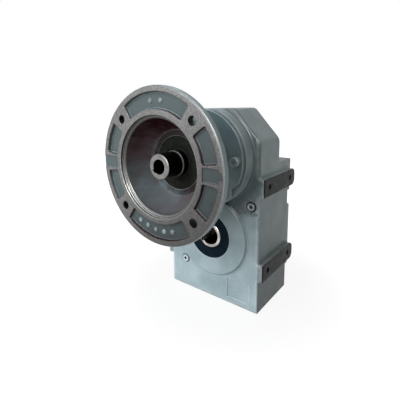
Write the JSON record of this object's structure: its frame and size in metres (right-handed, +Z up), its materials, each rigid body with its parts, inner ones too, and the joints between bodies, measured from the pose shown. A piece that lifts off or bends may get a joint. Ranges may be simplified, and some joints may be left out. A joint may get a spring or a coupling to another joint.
{
  "type": "shaft-mounted gearbox",
  "caption": "Parallel-shaft gearbox in an upright cast casing, with a bell adapter and round motor flange above and a keyed hollow output shaft below.",
  "frame": {"origin": "on the output shaft's axis, halfway along the hollow shaft", "axes": "+Z up from the output shaft to the input shaft, +Y along the shafts away from the motor, +X to the right seen from the motor"},
  "size_m": [0.2, 0.236, 0.331],
  "materials": {
    "cast_paint": "blue-grey enamel over a sand casting",
    "gear_steel": "hobbed gear steel with an oil film",
    "shaft_steel": "turned and ground steel",
    "bearing_steel": "ground bearing steel",
    "spring_steel": "phosphated spring steel",
    "screw_steel": "zinc-plated steel",
    "seal_rubber": "dark blue nitrile rubber",
    "gasket_paper": "oiled gasket paper",
    "washer_fibre": "bonded sealing ring"
  },
  "bodies": {
    "housing": {"gear_case": "cast_paint", "rear_cover": "cast_paint", "rear_cover_gasket": "gasket_paper", "rear_cover_screws": "screw_steel", "locating_pins": "bearing_steel", "motor_adapter": "cast_paint", "adapter_gasket": "gasket_paper", "adapter_screws": "screw_steel", "filler_plug": "screw_steel", "level_plug": "screw_steel", "plug_washers": "washer_fibre", "output_front_seal": "seal_rubber", "output_rear_seal": "seal_rubber", "input_seal": "seal_rubber", "adapter_circlip": "spring_steel", "output_front_bearing_outer": "bearing_steel", "output_rear_bearing_outer": "bearing_steel", "countershaft_front_bearing_outer": "bearing_steel", "countershaft_rear_bearing_outer": "bearing_steel", "input_front_bearing_outer": "bearing_steel", "input_rear_bearing_outer": "bearing_steel"},
    "output": {"output_shaft": "shaft_steel", "output_wheel": "gear_steel", "output_key": "shaft_steel", "output_front_bearing_inner": "bearing_steel", "output_rear_bearing_inner": "bearing_steel"},
    "countershaft": {"countershaft": "gear_steel", "countershaft_wheel": "gear_steel", "countershaft_key": "shaft_steel", "countershaft_spacer": "shaft_steel", "countershaft_front_bearing_inner": "bearing_steel", "countershaft_rear_bearing_inner": "bearing_steel"},
    "input": {"input_shaft": "shaft_steel", "input_circlip": "spring_steel", "input_front_bearing_inner": "bearing_steel", "input_rear_bearing_inner": "bearing_steel"}
  },
  "joints": [
    {"name": "output_spin", "type": "hinge", "parent": "housing", "child": "output", "pos_m": [0, 0, 0], "axis": [0, 1, 0], "continuous": true},
    {"name": "countershaft_spin", "type": "hinge", "parent": "housing", "child": "countershaft", "pos_m": [0, 0, 0.075], "axis": [0, 1, 0], "continuous": true},
    {"name": "input_spin", "type": "hinge", "parent": "housing", "child": "input", "pos_m": [0, 0, 0.125], "axis": [0, 1, 0], "continuous": true}
  ],
  "couplings": [
    {"joint": "countershaft_spin", "follows": "output_spin", "ratio": -3.2857},
    {"joint": "input_spin", "follows": "output_spin", "ratio": 8.449}
  ]
}
